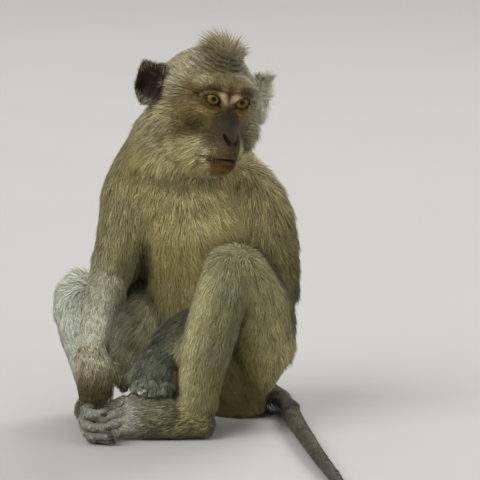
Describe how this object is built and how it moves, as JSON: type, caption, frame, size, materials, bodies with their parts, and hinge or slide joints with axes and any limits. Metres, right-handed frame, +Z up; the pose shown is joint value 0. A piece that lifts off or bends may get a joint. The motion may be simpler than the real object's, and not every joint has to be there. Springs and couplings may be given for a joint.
{
  "type": "seated long-tailed macaque",
  "caption": "Still life-size macaque sitting on its rump with knees up, hands on one foot, head turned, tail laid on the floor.",
  "frame": {"origin": "middle of the rump's flat on the floor", "axes": "+Z up, -Y forwards, the way the knees and tail tip point, +X to the animal's left"},
  "size_m": [0.2907, 0.4706, 0.3919],
  "materials": {
    "coat": "short to mid-length agouti fur, grey-brown with a yellow tinge, paler below",
    "bare_skin": "fine-creased dark grey-brown bare skin",
    "nail": "smooth dark horn",
    "eye": "wet cornea over an olive-yellow iris with a small dark pupil"
  },
  "bodies": {
    "root": {"trunk": "coat", "neck": "coat", "head": "coat", "ear_left": "bare_skin", "ear_right": "bare_skin", "eye_left": "eye", "eye_right": "eye", "upper_arm_left": "coat", "upper_arm_right": "coat", "forearm_left": "coat", "forearm_right": "coat", "hand_left": "bare_skin", "hand_right": "bare_skin", "thigh_left": "coat", "thigh_right": "coat", "shin_left": "coat", "shin_right": "coat", "foot_left": "bare_skin", "foot_right": "bare_skin", "tail_1": "coat", "tail_2": "coat", "tail_3": "coat", "tail_4": "coat", "tail_5": "coat"}
  },
  "joints": []
}
